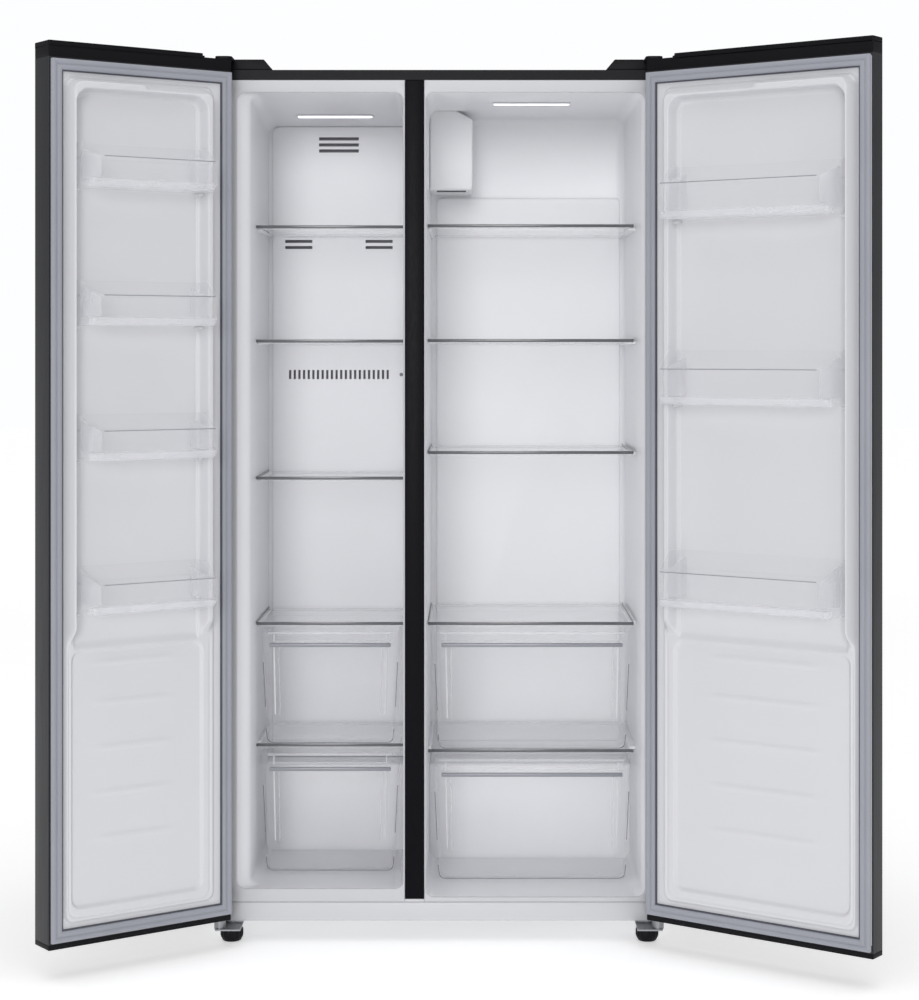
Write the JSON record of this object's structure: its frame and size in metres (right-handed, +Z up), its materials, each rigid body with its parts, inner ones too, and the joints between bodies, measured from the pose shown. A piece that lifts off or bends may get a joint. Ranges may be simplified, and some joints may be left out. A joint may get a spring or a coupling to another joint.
{
  "type": "side by side refrigerator",
  "caption": "Side by side refrigerator with a freezer and a fridge compartment, both doors standing open on glass shelves, clear drawers and door bins.",
  "frame": {"origin": "on the floor, under the middle of the whole object's bounding box as it stands with both doors open", "axes": "+Z up, +Y towards the back of the cabinet, +X towards the fridge side; the doors open towards -Y"},
  "size_m": [1.6198, 0.991, 1.792],
  "materials": {
    "cabinet_shell": "satin dark grey enamel",
    "back_panel": "zinc coated sheet",
    "base_plate": "zinc coated sheet",
    "foam_insulation": "rigid foam",
    "freezer_liner": "smooth white",
    "fridge_liner": "smooth white",
    "divider_strip": "satin black",
    "kick_panel": "smooth white",
    "freezer_back_cover": "smooth white",
    "evaporator": "bare fins",
    "fridge_duct_cover": "smooth white",
    "damper_box": "smooth white",
    "freezer_led_lens": "frosted lens",
    "fridge_led_lens": "frosted lens",
    "compressor": "black enamel",
    "condenser": "black fins",
    "machine_cover": "matte black",
    "freezer_top_hinge": "satin steel",
    "fridge_top_hinge": "satin steel",
    "freezer_hinge_cover": "satin black",
    "fridge_hinge_cover": "satin black",
    "freezer_bottom_hinge": "satin steel",
    "fridge_bottom_hinge": "satin steel",
    "freezer_drawer_shelf": "clear tempered glass with white trim",
    "freezer_middle_shelf": "clear tempered glass with white trim",
    "fridge_drawer_shelf": "clear tempered glass with white trim",
    "fridge_middle_shelf": "clear tempered glass with white trim",
    "freezer_door_panel": "satin dark grey",
    "freezer_door_top_cap": "satin black",
    "freezer_door_bottom_cap": "satin black",
    "freezer_door_liner": "smooth white",
    "freezer_door_gasket": "matte grey",
    "fridge_door_panel": "satin dark grey",
    "fridge_door_top_cap": "satin black",
    "fridge_door_bottom_cap": "satin black",
    "fridge_door_liner": "smooth white",
    "fridge_door_gasket": "matte grey",
    "freezer_door_bin_1": "clear moulded",
    "freezer_door_bin_2": "clear moulded",
    "freezer_door_bin_3": "clear moulded",
    "freezer_door_bin_4": "clear moulded",
    "fridge_door_bin_1": "clear moulded",
    "fridge_door_bin_2": "clear moulded",
    "fridge_door_bin_3": "clear moulded",
    "freezer_shelf_1": "clear tempered glass with white trim",
    "freezer_shelf_2": "clear tempered glass with white trim",
    "freezer_shelf_3": "clear tempered glass with white trim",
    "freezer_drawer_upper": "clear moulded",
    "freezer_drawer_lower": "clear moulded",
    "fridge_shelf_1": "clear tempered glass with white trim",
    "fridge_shelf_2": "clear tempered glass with white trim",
    "fridge_shelf_3": "clear tempered glass with white trim",
    "fridge_drawer_upper": "clear moulded",
    "fridge_drawer_lower": "clear moulded",
    "left_levelling_foot": "matte black",
    "left_rear_roller": "matte black",
    "right_levelling_foot": "matte black",
    "right_rear_roller": "matte black",
    "evaporator_fan": "matte",
    "condenser_fan": "matte"
  },
  "bodies": {
    "cabinet": {"cabinet_shell": "cabinet_shell", "back_panel": "back_panel", "base_plate": "base_plate", "foam_insulation": "foam_insulation", "freezer_liner": "freezer_liner", "fridge_liner": "fridge_liner", "divider_strip": "divider_strip", "kick_panel": "kick_panel", "freezer_back_cover": "freezer_back_cover", "evaporator": "evaporator", "fridge_duct_cover": "fridge_duct_cover", "damper_box": "damper_box", "freezer_led_lens": "freezer_led_lens", "fridge_led_lens": "fridge_led_lens", "compressor": "compressor", "condenser": "condenser", "machine_cover": "machine_cover", "freezer_top_hinge": "freezer_top_hinge", "fridge_top_hinge": "fridge_top_hinge", "freezer_hinge_cover": "freezer_hinge_cover", "fridge_hinge_cover": "fridge_hinge_cover", "freezer_bottom_hinge": "freezer_bottom_hinge", "fridge_bottom_hinge": "fridge_bottom_hinge", "freezer_drawer_shelf": "freezer_drawer_shelf", "freezer_middle_shelf": "freezer_middle_shelf", "fridge_drawer_shelf": "fridge_drawer_shelf", "fridge_middle_shelf": "fridge_middle_shelf"},
    "freezer_door": {"freezer_door_panel": "freezer_door_panel", "freezer_door_top_cap": "freezer_door_top_cap", "freezer_door_bottom_cap": "freezer_door_bottom_cap", "freezer_door_liner": "freezer_door_liner", "freezer_door_gasket": "freezer_door_gasket"},
    "fridge_door": {"fridge_door_panel": "fridge_door_panel", "fridge_door_top_cap": "fridge_door_top_cap", "fridge_door_bottom_cap": "fridge_door_bottom_cap", "fridge_door_liner": "fridge_door_liner", "fridge_door_gasket": "fridge_door_gasket"},
    "freezer_door_bin_1": {"freezer_door_bin_1": "freezer_door_bin_1"},
    "freezer_door_bin_2": {"freezer_door_bin_2": "freezer_door_bin_2"},
    "freezer_door_bin_3": {"freezer_door_bin_3": "freezer_door_bin_3"},
    "freezer_door_bin_4": {"freezer_door_bin_4": "freezer_door_bin_4"},
    "fridge_door_bin_1": {"fridge_door_bin_1": "fridge_door_bin_1"},
    "fridge_door_bin_2": {"fridge_door_bin_2": "fridge_door_bin_2"},
    "fridge_door_bin_3": {"fridge_door_bin_3": "fridge_door_bin_3"},
    "freezer_shelf_1": {"freezer_shelf_1": "freezer_shelf_1"},
    "freezer_shelf_2": {"freezer_shelf_2": "freezer_shelf_2"},
    "freezer_shelf_3": {"freezer_shelf_3": "freezer_shelf_3"},
    "freezer_drawer_upper": {"freezer_drawer_upper": "freezer_drawer_upper"},
    "freezer_drawer_lower": {"freezer_drawer_lower": "freezer_drawer_lower"},
    "fridge_shelf_1": {"fridge_shelf_1": "fridge_shelf_1"},
    "fridge_shelf_2": {"fridge_shelf_2": "fridge_shelf_2"},
    "fridge_shelf_3": {"fridge_shelf_3": "fridge_shelf_3"},
    "fridge_drawer_upper": {"fridge_drawer_upper": "fridge_drawer_upper"},
    "fridge_drawer_lower": {"fridge_drawer_lower": "fridge_drawer_lower"},
    "left_levelling_foot": {"left_levelling_foot": "left_levelling_foot"},
    "left_rear_roller": {"left_rear_roller": "left_rear_roller"},
    "right_levelling_foot": {"right_levelling_foot": "right_levelling_foot"},
    "right_rear_roller": {"right_rear_roller": "right_rear_roller"},
    "evaporator_fan": {"evaporator_fan": "evaporator_fan"},
    "condenser_fan": {"condenser_fan": "condenser_fan"}
  },
  "joints": [
    {"name": "freezer_door_hinge", "type": "hinge", "parent": "cabinet", "child": "freezer_door", "pos_m": [-0.47567, -0.13754, 0.5], "axis": [0, 0, -1], "range_deg": [-143.8, 0]},
    {"name": "fridge_door_hinge", "type": "hinge", "parent": "cabinet", "child": "fridge_door", "pos_m": [0.40433, -0.13754, 0.5], "axis": [0, 0, 1], "range_deg": [-143.8, 0]},
    {"name": "freezer_door_bin_1_lift", "type": "slide", "parent": "freezer_door", "child": "freezer_door_bin_1", "axis": [0, 0, 1], "range_m": [0, 0.035]},
    {"name": "freezer_door_bin_2_lift", "type": "slide", "parent": "freezer_door", "child": "freezer_door_bin_2", "axis": [0, 0, 1], "range_m": [0, 0.035]},
    {"name": "freezer_door_bin_3_lift", "type": "slide", "parent": "freezer_door", "child": "freezer_door_bin_3", "axis": [0, 0, 1], "range_m": [0, 0.035]},
    {"name": "freezer_door_bin_4_lift", "type": "slide", "parent": "freezer_door", "child": "freezer_door_bin_4", "axis": [0, 0, 1], "range_m": [0, 0.035]},
    {"name": "fridge_door_bin_1_lift", "type": "slide", "parent": "fridge_door", "child": "fridge_door_bin_1", "axis": [0, 0, 1], "range_m": [0, 0.035]},
    {"name": "fridge_door_bin_2_lift", "type": "slide", "parent": "fridge_door", "child": "fridge_door_bin_2", "axis": [0, 0, 1], "range_m": [0, 0.035]},
    {"name": "fridge_door_bin_3_lift", "type": "slide", "parent": "fridge_door", "child": "fridge_door_bin_3", "axis": [0, 0, 1], "range_m": [0, 0.035]},
    {"name": "freezer_shelf_1_slide", "type": "slide", "parent": "cabinet", "child": "freezer_shelf_1", "axis": [0, -1, 0], "range_m": [0, 0.25]},
    {"name": "freezer_shelf_2_slide", "type": "slide", "parent": "cabinet", "child": "freezer_shelf_2", "axis": [0, -1, 0], "range_m": [0, 0.25]},
    {"name": "freezer_shelf_3_slide", "type": "slide", "parent": "cabinet", "child": "freezer_shelf_3", "axis": [0, -1, 0], "range_m": [0, 0.25]},
    {"name": "freezer_drawer_upper_slide", "type": "slide", "parent": "cabinet", "child": "freezer_drawer_upper", "axis": [0, -1, 0], "range_m": [0, 0.27]},
    {"name": "freezer_drawer_lower_slide", "type": "slide", "parent": "cabinet", "child": "freezer_drawer_lower", "axis": [0, -1, 0], "range_m": [0, 0.19]},
    {"name": "fridge_shelf_1_slide", "type": "slide", "parent": "cabinet", "child": "fridge_shelf_1", "axis": [0, -1, 0], "range_m": [0, 0.25]},
    {"name": "fridge_shelf_2_slide", "type": "slide", "parent": "cabinet", "child": "fridge_shelf_2", "axis": [0, -1, 0], "range_m": [0, 0.25]},
    {"name": "fridge_shelf_3_slide", "type": "slide", "parent": "cabinet", "child": "fridge_shelf_3", "axis": [0, -1, 0], "range_m": [0, 0.25]},
    {"name": "fridge_drawer_upper_slide", "type": "slide", "parent": "cabinet", "child": "fridge_drawer_upper", "axis": [0, -1, 0], "range_m": [0, 0.27]},
    {"name": "fridge_drawer_lower_slide", "type": "slide", "parent": "cabinet", "child": "fridge_drawer_lower", "axis": [0, -1, 0], "range_m": [0, 0.19]},
    {"name": "left_levelling_foot_turn", "type": "hinge", "parent": "cabinet", "child": "left_levelling_foot", "pos_m": [-0.45867, -0.07554, 0], "axis": [0, 0, 1], "continuous": true},
    {"name": "left_rear_roller_spin", "type": "hinge", "parent": "cabinet", "child": "left_rear_roller", "pos_m": [-0.42567, 0.43546, 0.01785], "axis": [1, 0, 0], "continuous": true},
    {"name": "right_levelling_foot_turn", "type": "hinge", "parent": "cabinet", "child": "right_levelling_foot", "pos_m": [0.38733, -0.07554, 0], "axis": [0, 0, 1], "continuous": true},
    {"name": "right_rear_roller_spin", "type": "hinge", "parent": "cabinet", "child": "right_rear_roller", "pos_m": [0.35433, 0.43546, 0.01785], "axis": [1, 0, 0], "continuous": true},
    {"name": "evaporator_fan_spin", "type": "hinge", "parent": "cabinet", "child": "evaporator_fan", "pos_m": [-0.26489, 0.37046, 1.3], "axis": [0, 1, 0], "continuous": true},
    {"name": "condenser_fan_spin", "type": "hinge", "parent": "cabinet", "child": "condenser_fan", "pos_m": [-0.03567, 0.39296, 0.15], "axis": [1, 0, 0], "continuous": true}
  ]
}
